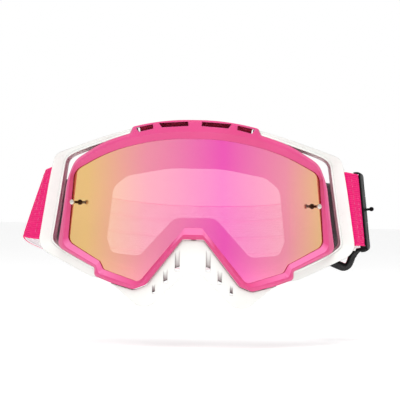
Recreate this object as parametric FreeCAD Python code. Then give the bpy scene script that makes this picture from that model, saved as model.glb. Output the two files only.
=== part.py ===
"""Motocross goggles: soft frame, curved mirror lens, outriggers, nose guard, face foam and strap.

Millimetres.  +X is the wearer's left-hand side seen from the front (the viewer's right), +Y runs back
towards the wearer's face, and +Z is up.  The origin is on the symmetry plane, at the height of the
tear-off posts, on the rear face of the face foam.
"""
import FreeCAD, Part
import math
import os

V = FreeCAD.Vector
TALL = 240.0                       # taller than anything here
TINY = 1e-3                        # tolerance for picking edges

# ---- driving dimensions ------------------------------------------------------------------------
LENS_APEX_Y = -44.0                # front of the lens, on the symmetry plane
LENS_R = 95.0                      # outside radius of the lens, about an upright axis
LENS_T = 1.2
BEZEL_PROUD = 2.4                  # bezel in front of the lens
LENS_LAP = 2.2                     # how far the lens runs under the bezel
GROOVE_PLAY = 0.1                  # room round the lens in its groove
LEDGE_T = 2.0                      # ledge behind the lens
LEDGE_SETBACK = 0.4                # its edge stands back from the lens opening
AXIS_Y = LENS_APEX_Y + LENS_R      # upright axis of lens and bezel
BEZEL_R = LENS_R + BEZEL_PROUD
LEDGE_BACK_Y = LENS_APEX_Y + LENS_T + GROOVE_PLAY + LEDGE_T
LEDGE_BACK_R = AXIS_Y - LEDGE_BACK_Y

FACE_Y, FACE_R = -22.0, 109.0      # rear surface of the frame, which carries the foam
FLANGE_T = 2.2
FOAM_LAYERS = (("foam_base", -22.0, 109.0, -9.0, 116.0),
               ("foam_middle", -9.0, 116.0, -2.5, 123.0),
               ("foam_fleece", -2.5, 123.0, 0.0, 125.0))

BEZEL_CHAMFER = 1.5
BEZEL_ROUND = 0.5

# Right halves of the outlines seen from the front, from top to bottom: x, z, corner radius.
APERTURE = [(17, 36.3, 120), (46, 30, 98), (67.6, 18.9, 7), (70.8, -20.2, 5), (51.6, -30.4, 1.2),
            (49.2, -34.8, 1.2), (29.1, -41.0, 4), (4.6, -11.2, 1.5)]
SIDES = [(51, 34.4, 60), (67.4, 24.6, 12), (72.0, 13.5, 30), (74.4, -5, 60), (77.3, -23.4, 4.5),
         (54.3, -34.0, 1.6), (54.3, -38.5, 2.2), (45.6, -41.6, 2.0), (32.0, -45.0, 4),
         (25.2, -42.3, 3), (5.8, -17.5, 1.6)]
FRAME = [(17, 42.3, 120), (34, 39.5, 50)] + SIDES
HOODED_FRAME = [(16.8, 46.5, 130), (33.8, 42.7, 2.0), (35.6, 39.0, 1.0)] + SIDES
FACE_OPENING = [(14, 21.0, 60), (38, 16.6, 8), (46.0, 10.5, 8), (49.2, -18, 4), (46.6, -26.0, 4),
                (30.5, -27.5, 6), (11.0, -6.0, 8)]
FOAM_OUTER = [(17, 40.6, 120), (50.5, 33.2, 60), (65.6, 24.0, 8), (70.6, 16.2, 2), (77.4, 15.0, 3),
              (82.0, -23.6, 4), (74.5, -27.4, 3), (54.0, -36.6, 6), (32.5, -43.6, 4),
              (25.6, -41.2, 4), (6.6, -17.8, 2)]
FOAM_MARGIN = 3.0                  # foam stands back from the edge of the face opening

HOOD_BACK_Y = -36.0                # the brow hood covers only the front of the frame
HOOD_HALF = 40.0                   # wider than half of the hood
BROW_SLOTS = ((3.8, 19.4, 45.5, 44.6), (22.8, 32.0, 43.9, 42.1))   # x from, x to, top z at each
SLOT_H, SLOT_SLANT = 2.3, 1.6
SLOT_NEAR = 0.2                    # share of the slant at the end nearer the middle
LOWER_SLOTS = (34.0, 40.5)         # x of the lower vent slots
LOWER_SLOT_W = 3.5
LOWER_SLOT_Y, LOWER_SLOT_Z = (-31.5, -25.0), (-47.0, -37.0)
VENT_TOP = [(17, 46.2, 100), (32.6, 43.0, 0.3), (30.2, 42.5, 0.3), (30.2, 39.8, 0.3), (17, 42.0, 100)]
VENT_TOP_T = 3.0
VENT_LOWER = ((32.0, -36.9), (47.2, -32.4), (47.2, -29.9), (32.0, -34.4))    # x, z
VENT_LOWER_Y, VENT_LOWER_L = -31.5, 7.5
VENT_PLAY = 0.1

# Outrigger, right-hand side: x outer, z outer, x inner, z inner, front y, depth.
OUTRIGGER = [(31.0, 42.0, 30.6, 38.9, -40.2, 9.0),
             (36.0, 41.5, 35.2, 37.9, -38.2, 9.0),
             (50.5, 37.6, 49.4, 33.4, -29.6, 9.0),
             (62.5, 34.0, 61.4, 29.9, -19.0, 9.0),
             (72.0, 31.3, 70.0, 27.0, -8.6, 9.0),
             (80.2, 28.4, 72.9, 24.4, -3.6, 9.0),
             (83.0, 15.0, 74.3, 14.0, -3.4, 9.0),
             (86.2, -5.0, 77.2, -5.0, -2.8, 9.0),
             (88.7, -21.0, 79.7, -19.6, -2.4, 9.0),
             (85.6, -25.9, 77.0, -22.0, -4.6, 9.0),
             (71.0, -32.7, 68.6, -26.4, -14.2, 9.0),
             (56.5, -39.2, 55.0, -32.6, -26.2, 9.0),
             (50.5, -39.6, 50.0, -33.5, -30.4, 8.0)]
STRUT_GAP = 0.4                    # room between the strut and the edge of the lens
ROD_R = 1.5                        # rear rod of the outrigger, which the strap is sewn round
ROD_Y = 13.4
ROD_LUG_T = 2.6
ROD_LUG_IN, ROD_LUG_Y = 4.5, 2.0      # a lug's reach inwards from the rod, and where it starts
ROD_X0, ROD_SLOPE = 84.6, -0.1645     # x at z = 0, and its lean
ROD_Z = (23.2, -22.4)

# Nose guard
GUARD = [(8.0, -12.0, 3.0), (46.0, -30.0, 1.0), (46.0, -41.4, 0.8), (25.7, -57.6, 9.0), (4.4, -36.5, 2.2)]
GUARD_R = 94.2
GUARD_T = 2.2
GUARD_FLANGE = 6.5                 # depth of its rims
GUARD_RIM_T = 1.5
GUARD_CHAMFER = 0.6
GUARD_GAP = 0.45                   # room between guard and frame
GUARD_LOUVRES = ((8.3, -21.6, -34.6, 2.5), (14.6, -33.0, -41.2, 2.2), (20.9, -41.2, -47.0, 1.5))
GUARD_RAMP = 0.4                   # a louvre starts this far in front of the plate
GUARD_DIP = 0.5                    # and ends this far behind it
PEG_R, PEG_PLAY, PEG_LEN = 1.3, 0.1, 2.0
PEG_ROOT = 1.0
PEG_TOP = (0.0, -37.0, -17.5)      # foot of the middle peg
PEG_SIDE = (38.0, -30.0, -43.1)    # foot of each side peg

# Tear-off posts
POST_X, POST_Z = 63.8, 1.5
POST_SHANK_R, POST_HEAD_R = 0.8, 1.5
POST_LEN, POST_HEAD_LEN = 6.6, 1.6
POST_COLLAR, POST_GAP = 0.7, 0.05  # collar on the lens, and its clearance
POST_INSIDE = 0.5                  # how far the shank stands out behind the lens
RETAINER_R, RETAINER_T = 2.4, 1.0

# Strap
STRAP_T = 1.5
STRAP_W = 41.8
# middle of the strap from the left-hand rod round to the right-hand one:
# x at the top edge, x at the bottom edge, y at the top edge, y at the bottom edge, middle z
STRAP_PATH = [(-83.3, -90.0, 12.0, 12.0, 0.4), (-88.0, -98.2, 28.0, 29.0, 0.4),
              (-90.8, -104.2, 45.0, 48.0, 0.0), (-90.0, -104.0, 65.0, 70.0, -4.0),
              (-83.0, -97.0, 91.0, 97.0, -8.9), (-70.5, -81.0, 116.0, 122.0, -13.0),
              (-50.0, -56.0, 136.5, 142.5, -17.0), (-25.5, -28.5, 148.0, 154.5, -19.4),
              (0.0, 0.0, 151.5, 158.0, -20.0), (26.0, 28.5, 148.0, 154.5, -19.4),
              (50.0, 55.5, 137.0, 143.0, -17.0), (74.5, 82.0, 117.0, 121.5, -12.0),
              (89.5, 96.2, 95.0, 96.0, -4.6), (94.7, 99.5, 72.0, 72.0, 0.0),
              (90.6, 95.4, 33.0, 33.0, 0.0), (83.3, 90.0, 12.0, 12.0, 0.4)]
STRAP_END_Z = 0.4                  # height of the middle of each sewn end
ROD_PLAY = 0.15                    # room round the rod in the strap's sewn end
STRAP_STEPS = 4                    # sections per stretch of the path
GRIP_LINES = (-11.0, 0.0, 11.0)    # height of each silicone line on the strap
GRIP_W, GRIP_T = 1.4, 0.4
GRIP_GAP = 0.05                    # clearance to the strap in the model
GRIP_RUN = (4.0, 11.5)             # first and last stretch of the path that carries them

# Slider buckle on the right-hand run of the strap
BUCKLE_Y = 46.0                    # its middle
BUCKLE_L, BUCKLE_H = 22.0, 47.0
BUCKLE_DROP = 1.1                  # it sits this much lower than the strap
BUCKLE_IN, BUCKLE_OUT, BUCKLE_CROWN = 1.9, 1.8, 1.5    # from the strap's middle; crown on top
BUCKLE_CORNER = 5.0
BUCKLE_SLOT_T, BUCKLE_SLOT_H = 2.1, 42.6
BUCKLE_POCKET_Y, BUCKLE_POCKET_L, BUCKLE_POCKET_H = 5.2, 6.4, 36.0    # two reliefs in its back
WINDOW_L, WINDOW_H, WINDOW_CORNER, WINDOW_Z = 9.0, 8.0, 2.0, 14.0     # above and below the gate
GATE_L, GATE_H = 11.0, 15.0
GATE_PLAY = 0.3
GATE_PIN_X, GATE_PIN_Y, GATE_PIN_R = 2.25, 4.2, 0.5
GATE_KNUCKLE_R = 0.95
PIN_LEN, PIN_PLAY = 19.0, 0.05
TAB_LEN, TAB_T, TAB_BEAD_R, TAB_W = 4.2, 1.4, 1.25, 7.0
TAB_ROOT, TAB_SETBACK = 1.0, 0.4   # sunk into the gate, and back from its edge

# Free end of the strap under the buckle: x, z of its middle, then its width along Y and thickness
TAIL_PATH = [(94.9, -23.3), (93.0, -23.8), (89.8, -26.8), (88.6, -30.0), (87.4, -32.4), (85.2, -33.5),
             (82.4, -32.7), (78.6, -31.2), (73.6, -29.4), (68.6, -28.0)]
TAIL_Y, TAIL_W, TAIL_T = 37.0, 17.0, 2.0
TAIL_SPLAY = 1.9                   # its rear edge stands out from the path, its front edge in, by this


# ---- helpers -----------------------------------------------------------------------------------
def behind(apex_y, radius):
    """Everything behind an upright cylindrical surface that stands nearest at apex_y."""
    return Part.makeCylinder(radius, TALL, V(0, apex_y + radius, -TALL / 2))


def layer(y0, r0, y1, r1):
    """The space between two such surfaces."""
    return behind(y0, r0).cut(behind(y1, r1))


def closed(half):
    """Full outline from its right half."""
    return half + [(-x, z, r) for x, z, r in reversed(half)]


def offset(points, d):
    """Outline moved outwards by d (inwards when negative)."""
    n = len(points)
    area = sum(points[i - 1][0] * points[i][1] - points[i][0] * points[i - 1][1] for i in range(n))
    side = 1.0 if area < 0 else -1.0
    moved = []
    for i, (x, z, r) in enumerate(points):
        ax, az = x - points[i - 1][0], z - points[i - 1][1]
        bx, bz = points[(i + 1) % n][0] - x, points[(i + 1) % n][1] - z
        la, lb = math.hypot(ax, az), math.hypot(bx, bz)
        na = (-az / la * side, ax / la * side)
        nb = (-bz / lb * side, bx / lb * side)
        scale = d / (1 + na[0] * nb[0] + na[1] * nb[1])
        convex = (ax * bz - az * bx) * side < 0
        r_new = max(0.3, r + d if convex else r - d)
        moved.append((x + (na[0] + nb[0]) * scale, z + (na[1] + nb[1]) * scale, r_new))
    return moved


def wire(points, y):
    """Polygon with rounded corners, in a plane across Y."""
    n = len(points)
    arcs = []
    for i, (x, z, r) in enumerate(points):
        corner = V(x, y, z)
        a = V(points[i - 1][0], y, points[i - 1][1]) - corner
        b = V(points[(i + 1) % n][0], y, points[(i + 1) % n][1]) - corner
        a.normalize()
        b.normalize()
        half = math.acos(max(-1.0, min(1.0, a.dot(b)))) / 2
        bisector = (a + b).normalize()
        run = r / math.tan(half)
        middle = corner + bisector * (r / math.sin(half) - r)
        arcs.append((corner + a * run, middle, corner + b * run))
    edges = []
    for i, (start, middle, end) in enumerate(arcs):
        edges.append(Part.Arc(start, middle, end).toShape())
        following = arcs[(i + 1) % n][0]
        if (following - end).Length > 1e-4:
            edges.append(Part.makeLine(end, following))
    return Part.Wire(edges)


def prism(points, y0=-TALL / 2, y1=TALL / 2):
    return Part.Face(wire(points, y0)).extrude(V(0, y1 - y0, 0))


def box(x0, x1, y0, y1, z0, z1):
    return Part.makeBox(x1 - x0, y1 - y0, z1 - z0, V(x0, y0, z0))


def polygon_prism(corners, direction):
    """Straight prism over a flat polygon of 3-D corners."""
    points = [V(*c) for c in corners]
    return Part.Face(Part.makePolygon(points + points[:1])).extrude(V(*direction))


def loft(sections):
    """Ruled solid through closed four-cornered sections."""
    wires = [Part.makePolygon([V(*p) for p in s] + [V(*s[0])]) for s in sections]
    return Part.makeLoft(wires, True, True)


def mirrored(shape):
    return shape.mirror(V(0, 0, 0), V(1, 0, 0))


def rod(start, end, radius):
    a, b = V(*start), V(*end)
    return Part.makeCylinder(radius, (b - a).Length, a, b - a)


def one(shape):
    """The largest solid of a boolean's result."""
    return max(shape.Solids, key=lambda s: s.Volume)


def edges_at(solid, radius):
    """Edges that lie on the cylindrical surface of this radius about the upright axis."""
    chosen = []
    for edge in solid.Edges:
        first, last = edge.FirstParameter, edge.LastParameter
        spots = [edge.valueAt(first + share * (last - first)) for share in (0, 0.5, 1)]
        if all(abs(math.hypot(p.x, p.y - AXIS_Y) - radius) < TINY for p in spots):
            chosen.append(edge)
    return chosen


# ---- lens and its posts --------------------------------------------------------------------------
def post_frame(side):
    """Foot of a tear-off post on the lens surface, and its outward direction."""
    angle = math.asin(POST_X / LENS_R)
    direction = V(side * math.sin(angle), -math.cos(angle), 0)
    return V(0, AXIS_Y, POST_Z) + direction * LENS_R, direction


def lens():
    outline = offset(closed(APERTURE), LENS_LAP - GROOVE_PLAY)
    body = prism(outline).common(layer(LENS_APEX_Y, LENS_R, LENS_APEX_Y + LENS_T, LENS_R - LENS_T))
    for side in (1, -1):
        foot, direction = post_frame(side)
        body = body.cut(Part.makeCylinder(POST_SHANK_R, 2 * POST_LEN, foot - direction * POST_LEN, direction))
    return one(body)


def tear_off_post(side):
    foot, direction = post_frame(side)
    inside = LENS_T + POST_INSIDE
    shank = Part.makeCylinder(POST_SHANK_R, inside + POST_LEN - POST_HEAD_LEN, foot - direction * inside,
                              direction)
    collar = Part.makeCylinder(POST_HEAD_R, POST_COLLAR, foot + direction * POST_GAP, direction)
    head = Part.makeCylinder(POST_HEAD_R, POST_HEAD_LEN, foot + direction * (POST_LEN - POST_HEAD_LEN),
                             direction)
    return shank.fuse([collar, head]).removeSplitter()


def post_retainer(side):
    foot, direction = post_frame(side)
    front = foot - direction * (LENS_T + POST_GAP)
    disc = Part.makeCylinder(RETAINER_R, RETAINER_T, front - direction * RETAINER_T, direction)
    return disc.cut(Part.makeCylinder(POST_SHANK_R, 2 * POST_LEN, front - direction * POST_LEN, direction))


# ---- frame ---------------------------------------------------------------------------------------
def brow_slot(x0, x1, z0, z1):
    """Slanted slot through the brow hood, on the right-hand side."""
    y = -TALL / 2
    corners = [(x0, y, z0), (x1, y, z1), (x1 - SLOT_SLANT, y, z1 - SLOT_H),
               (x0 - SLOT_SLANT * SLOT_NEAR, y, z0 - SLOT_H)]
    return polygon_prism(corners, (0, TALL / 2, 0))


def in_aperture(edge):
    """True for an edge on the rim of the lens opening."""
    middle = edge.valueAt((edge.FirstParameter + edge.LastParameter) / 2)
    return prism(offset(closed(APERTURE), BEZEL_ROUND)).isInside(middle, TINY, True)


def frame_blank():
    """Bezel, side walls and face flange in one, before the vents."""
    front = behind(AXIS_Y - BEZEL_R, BEZEL_R)
    body = prism(closed(HOODED_FRAME)).common(front).cut(behind(FACE_Y, FACE_R))
    body = one(body).makeChamfer(BEZEL_CHAMFER, edges_at(body, BEZEL_R))
    window = prism(closed(APERTURE)).cut(behind(LENS_APEX_Y - GROOVE_PLAY, LENS_R + GROOVE_PLAY))
    body = body.cut(window)
    body = one(body).makeFillet(BEZEL_ROUND, [e for e in edges_at(body, BEZEL_R) if in_aperture(e)])
    above = box(-HOOD_HALF, HOOD_HALF, HOOD_BACK_Y, TALL / 2, 0, TALL / 2).cut(prism(closed(FRAME)))
    return body.cut(above)


def front_frame(outriggers):
    body = frame_blank()
    lens_edge = offset(closed(APERTURE), LENS_LAP)
    groove = layer(LENS_APEX_Y - GROOVE_PLAY, LENS_R + GROOVE_PLAY,
                   LENS_APEX_Y + LENS_T + GROOVE_PLAY, LENS_R - LENS_T - GROOVE_PLAY)
    ledge = layer(LEDGE_BACK_Y - LEDGE_T, LEDGE_BACK_R + LEDGE_T, LEDGE_BACK_Y, LEDGE_BACK_R)
    cavity = layer(LEDGE_BACK_Y, LEDGE_BACK_R, FACE_Y - FLANGE_T, FACE_R + FLANGE_T)
    body = body.cut(prism(lens_edge).common(groove))
    body = body.cut(prism(offset(closed(APERTURE), LEDGE_SETBACK)).common(ledge))
    body = body.cut(prism(lens_edge).common(cavity))
    body = body.cut(prism(closed(FACE_OPENING), LEDGE_BACK_Y, TALL / 2))
    for slot in BROW_SLOTS:
        cut = brow_slot(*slot)
        body = body.cut([cut, mirrored(cut)])
    for x in LOWER_SLOTS:
        cut = box(x, x + LOWER_SLOT_W, *LOWER_SLOT_Y, *LOWER_SLOT_Z)
        body = body.cut(cut).cut(mirrored(cut))
    for x, y, z in peg_places():
        body = body.cut(rod((x, y, z - PEG_ROOT), (x, y, z + PEG_LEN + GUARD_GAP), PEG_R + PEG_PLAY))
    for outrigger_piece in outriggers:
        body = body.cut(outrigger_piece)
    return one(body)


# ---- outriggers ------------------------------------------------------------------------------------
def outrigger():
    """Right-hand outrigger: a bent strut with a rod behind it for the strap."""
    sections = [[(xo, y, zo), (xo, y + depth, zo), (xi, y + depth, zi), (xi, y, zi)]
                for xo, zo, xi, zi, y, depth in OUTRIGGER]
    strut = loft(sections).cut(prism(offset(closed(APERTURE), LENS_LAP + STRUT_GAP)))
    ends = []
    for z in ROD_Z:
        x = ROD_X0 + ROD_SLOPE * z
        ends.append(box(x - ROD_LUG_IN, x + ROD_R, ROD_LUG_Y, ROD_Y + ROD_R,
                        z - ROD_LUG_T / 2, z + ROD_LUG_T / 2))
    bar = rod((ROD_X0 + ROD_SLOPE * ROD_Z[0], ROD_Y, ROD_Z[0]),
              (ROD_X0 + ROD_SLOPE * ROD_Z[1], ROD_Y, ROD_Z[1]), ROD_R)
    return one(strut.fuse(ends + [bar]).removeSplitter())


# ---- nose guard ------------------------------------------------------------------------------------
def peg_places():
    """x, y and foot z of the nose guard's three pegs."""
    x, y, z = PEG_SIDE
    return [PEG_TOP, (x, y, z), (-x, y, z)]


def louvre(x, z_top, z_bottom, width):
    """Scoop that starts flush at the top and opens through the guard at the bottom."""
    y_front = AXIS_Y - math.sqrt(GUARD_R ** 2 - x ** 2)
    near, far = y_front - GUARD_RAMP, y_front + GUARD_T + GUARD_DIP
    corners = [(x - width / 2, near, z_top), (x - width / 2, far, z_bottom), (x - width / 2, near, z_bottom)]
    return polygon_prism(corners, (width, 0, 0))


def nose_guard():
    guard = closed(GUARD)
    front = AXIS_Y - GUARD_R
    deep = layer(front, GUARD_R, front + GUARD_FLANGE, GUARD_R - GUARD_FLANGE)
    blank = one(prism(guard).common(deep))
    blank = blank.makeChamfer(GUARD_CHAMFER, edges_at(blank, GUARD_R))
    seat = prism(offset(closed(FRAME), GUARD_GAP + GUARD_RIM_T))
    hollow = prism(offset(guard, -GUARD_RIM_T)).cut(seat).common(behind(front + GUARD_T, GUARD_R - GUARD_T))
    body = one(blank.cut(hollow).cut(prism(offset(closed(FRAME), GUARD_GAP))))
    for slot in GUARD_LOUVRES:
        cut = louvre(*slot)
        body = body.cut(cut).cut(mirrored(cut))
    pegs = [rod((x, y, z - GUARD_GAP - PEG_ROOT), (x, y, z + PEG_LEN), PEG_R) for x, y, z in peg_places()]
    return one(body.fuse(pegs).removeSplitter())


# ---- foams -----------------------------------------------------------------------------------------
def face_foam(y0, r0, y1, r1):
    inner = prism(offset(closed(FACE_OPENING), FOAM_MARGIN))
    return one(prism(closed(FOAM_OUTER)).cut(inner).common(layer(y0, r0, y1, r1)))


def vent_foam_top():
    return prism(closed(VENT_TOP), HOOD_BACK_Y, HOOD_BACK_Y + VENT_TOP_T).cut(prism(closed(FRAME)))


def vent_foam_lower():
    corners = [(x, VENT_LOWER_Y, z) for x, z in VENT_LOWER]
    strip = polygon_prism(corners, (0, VENT_LOWER_L, 0)).common(behind(LEDGE_BACK_Y, LEDGE_BACK_R))
    depth = FLANGE_T + VENT_PLAY
    return strip.cut(behind(FACE_Y - depth, FACE_R + depth))


# ---- strap -----------------------------------------------------------------------------------------
def spline_point(path, i, t):
    """Catmull-Rom point between path[i] and path[i + 1]."""
    a, b = path[max(i - 1, 0)], path[i]
    c, d = path[i + 1], path[min(i + 2, len(path) - 1)]
    return tuple(0.5 * (2 * q + (r - p) * t + (2 * p - 5 * q + 4 * r - s) * t * t
                        + (3 * q - p - 3 * r + s) * t ** 3) for p, q, r, s in zip(a, b, c, d))


def strap_stations():
    stations = []
    straight = len(STRAP_PATH) - 3             # the stretch that the buckle slides on
    for i in range(len(STRAP_PATH) - 1):
        for k in range(STRAP_STEPS):
            t = k / STRAP_STEPS
            if i in (straight, straight + 1):
                point = tuple(p + (q - p) * t for p, q in zip(STRAP_PATH[i], STRAP_PATH[i + 1]))
            else:
                point = spline_point(STRAP_PATH, i, t)
            stations.append(point)
    return stations + [STRAP_PATH[-1]]


def strap_axes(stations, i):
    """Top and bottom middle points of a section and its outward normal across the thickness."""
    xt, xb, yt, yb, z = stations[i]
    before, after = stations[max(i - 1, 0)], stations[min(i + 1, len(stations) - 1)]
    along = V(after[0] + after[1] - before[0] - before[1], after[2] + after[3] - before[2] - before[3],
              2 * (after[4] - before[4])).normalize()
    top, bottom = V(xt, yt, z), V(xb, yb, z)
    lean = math.hypot(xt - xb, yt - yb)
    half_height = math.sqrt(STRAP_W ** 2 - lean ** 2) / 2
    top.z, bottom.z = z + half_height, z - half_height
    outward = (top - bottom).cross(along).normalize()
    return top, bottom, outward


def strap():
    stations = strap_stations()
    sections = []
    for i in range(len(stations)):
        top, bottom, outward = strap_axes(stations, i)
        push = outward * (STRAP_T / 2)
        sections.append([tuple(top + push), tuple(bottom + push), tuple(bottom - push), tuple(top - push)])
    band = loft(sections)
    for side in (1, -1):
        axis = [(side * (ROD_X0 + ROD_SLOPE * z), ROD_Y, z)
                for z in (STRAP_W / 2, 2 * STRAP_END_Z - STRAP_W / 2)]
        sleeve = rod(axis[0], axis[1], ROD_R + ROD_PLAY + STRAP_T)
        band = band.fuse(sleeve)
    for side in (1, -1):
        ends = [(side * (ROD_X0 + ROD_SLOPE * z), ROD_Y, z) for z in (STRAP_W, -STRAP_W)]
        band = band.cut(rod(ends[0], ends[1], ROD_R + ROD_PLAY))
    return one(band)


def grip_lines():
    stations = strap_stations()
    first, last = GRIP_RUN
    keep = range(round(first * STRAP_STEPS), round(last * STRAP_STEPS))
    lines = []
    for height in GRIP_LINES:
        sections = []
        for i in keep:
            top, bottom, outward = strap_axes(stations, i)
            up = (top - bottom).normalize()
            centre = (top + bottom) * 0.5 + up * height
            near = centre - outward * (STRAP_T / 2 + GRIP_GAP)
            far = near - outward * GRIP_T
            sections.append([tuple(near + up * GRIP_W / 2), tuple(near - up * GRIP_W / 2),
                             tuple(far - up * GRIP_W / 2), tuple(far + up * GRIP_W / 2)])
        lines.append(loft(sections))
    return Part.makeCompound(lines)


def strap_tail():
    sections = []
    for i, (x, z) in enumerate(TAIL_PATH):
        before, after = TAIL_PATH[max(i - 1, 0)], TAIL_PATH[min(i + 1, len(TAIL_PATH) - 1)]
        length = math.hypot(after[0] - before[0], after[1] - before[1])
        out_x, out_z = (before[1] - after[1]) / length, (after[0] - before[0]) / length
        splay, half = TAIL_SPLAY * min(1.0, i / 2), TAIL_T / 2
        corners = [(half - splay, TAIL_Y), (-half - splay, TAIL_Y),
                   (splay - half, TAIL_Y + TAIL_W), (splay + half, TAIL_Y + TAIL_W)]
        sections.append([(x + out_x * d, y, z + out_z * d) for d, y in corners])
    return one(loft(sections).cut(slider_buckle()))


# ---- slider buckle ---------------------------------------------------------------------------------
def strap_run():
    """Middle, lean and heading of the straight run that the buckle sits on."""
    (xt0, xb0, y0, _, z0), (xt1, xb1, y1, _, _) = STRAP_PATH[-2], STRAP_PATH[-3]
    share = (BUCKLE_Y - y0) / (y1 - y0)
    x = (xt0 + xb0) / 2 + ((xt1 + xb1) - (xt0 + xb0)) / 2 * share
    lean = math.degrees(math.asin((xb0 - xt0) / STRAP_W))
    heading = math.degrees(math.atan2((xt1 + xb1 - xt0 - xb0) / 2, y1 - y0))
    return V(x, BUCKLE_Y, z0), lean, heading


def on_strap(shape):
    """Place a shape made round the origin, X outwards, Y along the strap and Z across it."""
    middle, lean, heading = strap_run()
    shape = shape.copy()
    shape.rotate(V(0, 0, 0), V(0, 1, 0), -lean)
    shape.rotate(V(0, 0, 0), V(0, 0, 1), -heading)
    shape.translate(middle)
    return shape


def buckle_crown():
    """Outer surface: an arc along the strap, highest in the middle."""
    half = BUCKLE_L / 2
    radius = (half ** 2 + BUCKLE_CROWN ** 2) / (2 * BUCKLE_CROWN)
    return radius, BUCKLE_OUT + BUCKLE_CROWN - radius


def rounded_block(x0, x1, length, height, corner):
    block = box(x0, x1, -length / 2, length / 2, -height / 2, height / 2)
    along_x = [e for e in block.Edges if abs(e.Vertexes[0].X - e.Vertexes[1].X) > 1e-6]
    return block.makeFillet(corner, along_x)


def gate_axis(length, radius):
    """Upright rod on the gate's hinge line."""
    return rod((GATE_PIN_X, GATE_PIN_Y, -length / 2), (GATE_PIN_X, GATE_PIN_Y, length / 2), radius)


def gate_window():
    half_l, half_h = GATE_L / 2 + GATE_PLAY, GATE_H / 2 + GATE_PLAY
    return box(0, BUCKLE_L, -half_l, half_l, -half_h, half_h)


def slider_buckle():
    radius, centre = buckle_crown()
    block = rounded_block(-BUCKLE_IN, BUCKLE_OUT + BUCKLE_CROWN, BUCKLE_L, BUCKLE_H, BUCKLE_CORNER)
    block.translate(V(0, 0, -BUCKLE_DROP))
    block = block.common(Part.makeCylinder(radius, 2 * BUCKLE_H, V(centre, 0, -BUCKLE_H)))
    block = block.cut(box(-BUCKLE_SLOT_T / 2, BUCKLE_SLOT_T / 2, -BUCKLE_L, BUCKLE_L,
                          -BUCKLE_SLOT_H / 2, BUCKLE_SLOT_H / 2))
    for side in (1, -1):
        middle, half = side * BUCKLE_POCKET_Y, BUCKLE_POCKET_L / 2
        block = block.cut(box(-BUCKLE_L, 0, middle - half, middle + half,
                              -BUCKLE_POCKET_H / 2, BUCKLE_POCKET_H / 2))
        window = rounded_block(0, BUCKLE_L, WINDOW_L, WINDOW_H, WINDOW_CORNER)
        window.translate(V(0, 0, side * WINDOW_Z))
        block = block.cut(window)
    block = block.cut(gate_window())
    block = block.cut(gate_axis(PIN_LEN, GATE_PIN_R))
    return on_strap(one(block))


def buckle_pin():
    return on_strap(gate_axis(PIN_LEN, GATE_PIN_R))


def buckle_gate():
    radius, centre = buckle_crown()
    base = BUCKLE_SLOT_T / 2 + GATE_PLAY
    plate = box(base, BUCKLE_L, -GATE_L / 2, GATE_PIN_Y, -GATE_H / 2, GATE_H / 2)
    plate = plate.common(Part.makeCylinder(radius, GATE_H, V(centre, 0, -GATE_H / 2)))
    root = BUCKLE_OUT + BUCKLE_CROWN
    bead_x, front = root + TAB_LEN - TAB_BEAD_R, -GATE_L / 2 + TAB_SETBACK
    tab = box(root - TAB_ROOT, bead_x, front, front + TAB_W, -TAB_T / 2, TAB_T / 2)
    bead = rod((bead_x, front, 0), (bead_x, front + TAB_W, 0), TAB_BEAD_R)
    gate = plate.fuse([gate_axis(GATE_H, GATE_KNUCKLE_R), tab, bead]).removeSplitter()
    return on_strap(one(gate.cut(gate_axis(BUCKLE_H, GATE_PIN_R + PIN_PLAY))))


# ---- build and write ---------------------------------------------------------------------------------
def build():
    right = outrigger()
    left = mirrored(right)
    nodes = {"front_frame": front_frame([right, left]),
             "outrigger_right": right, "outrigger_left": left,
             "nose_guard": nose_guard(), "lens": lens(),
             "vent_foam_top": vent_foam_top(),
             "vent_foam_lower_right": vent_foam_lower(),
             "vent_foam_lower_left": mirrored(vent_foam_lower()),
             "strap": strap(), "strap_grip_lines": grip_lines(), "strap_tail": strap_tail(),
             "slider_buckle": slider_buckle(), "buckle_gate": buckle_gate(), "buckle_pin": buckle_pin()}
    for name, side in (("right", 1), ("left", -1)):
        nodes["tear_off_post_" + name] = tear_off_post(side)
        nodes["post_retainer_" + name] = post_retainer(side)
    for name, y0, r0, y1, r1 in FOAM_LAYERS:
        nodes[name] = face_foam(y0, r0, y1, r1)
    return nodes


def main():
    os.makedirs("parts", exist_ok=True)
    for name, shape in sorted(build().items()):
        shape.exportStep("parts/" + name + ".step")
        bounds = shape.BoundBox
        print("%-22s valid %s solids %d volume %9.1f  x %.1f..%.1f y %.1f..%.1f z %.1f..%.1f" % (
            name, shape.isValid(), len(shape.Solids), shape.Volume, bounds.XMin, bounds.XMax,
            bounds.YMin, bounds.YMax, bounds.ZMin, bounds.ZMax))
    middle, lean, heading = strap_run()
    print("buckle middle", tuple(round(v, 3) for v in middle), "lean", round(lean, 3),
          "heading", round(heading, 3))


main()
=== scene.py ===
"""Looks for the motocross goggles: plastics, mirror lens, foams, webbing, stage, light and camera.

Lengths in this file are in millimetres and turned into metres where they reach Blender.
+X is the viewer's right, +Y runs back towards the wearer's face, +Z is up.
"""
import math

import bmesh
import bpy
import numpy as np
from mathutils import Matrix, Vector, noise


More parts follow.
